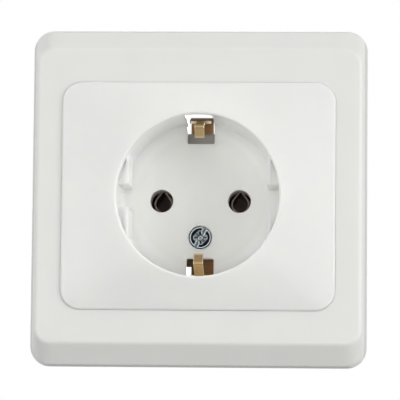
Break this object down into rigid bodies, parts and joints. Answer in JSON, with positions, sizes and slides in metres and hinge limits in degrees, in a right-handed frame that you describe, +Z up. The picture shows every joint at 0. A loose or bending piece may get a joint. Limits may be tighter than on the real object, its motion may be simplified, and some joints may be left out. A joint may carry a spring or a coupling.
{
  "type": "wall socket",
  "caption": "Flush earthed wall socket: square frame, cover plate rising to a round plug recess with pin holes and side earth clips, and a contact base on a steel support plate.",
  "frame": {"origin": "centre of the wall-box screw pattern, on the recess axis in the plane of the wall", "axes": "the socket faces -Y, +Z is up and +X is to the right as seen from the front; +Y goes into the wall"},
  "size_m": [0.081, 0.0413, 0.0816],
  "materials": {
    "white_plastic": "smooth moulded, low gloss",
    "grey_plastic": "moulded",
    "clear_nylon": "natural",
    "zinc_steel": "zinc plated",
    "brass": "rolled strip"
  },
  "bodies": {
    "root": {"frame": "white_plastic", "cover": "white_plastic", "cover_screw": "zinc_steel", "screw_retainer": "clear_nylon", "support_plate": "zinc_steel", "plate_rivets": "zinc_steel", "base": "grey_plastic", "rear_cover": "grey_plastic", "rear_cover_screws": "zinc_steel", "earth_bridge": "brass", "cover_nut": "brass", "earth_clamp_plate": "zinc_steel", "earth_terminal_screw": "zinc_steel", "line_contact": "brass", "line_terminal_nut": "brass", "line_clamp_plate": "zinc_steel", "line_terminal_screw": "zinc_steel", "neutral_contact": "brass", "neutral_terminal_nut": "brass", "neutral_clamp_plate": "zinc_steel", "neutral_terminal_screw": "zinc_steel"}
  },
  "joints": []
}
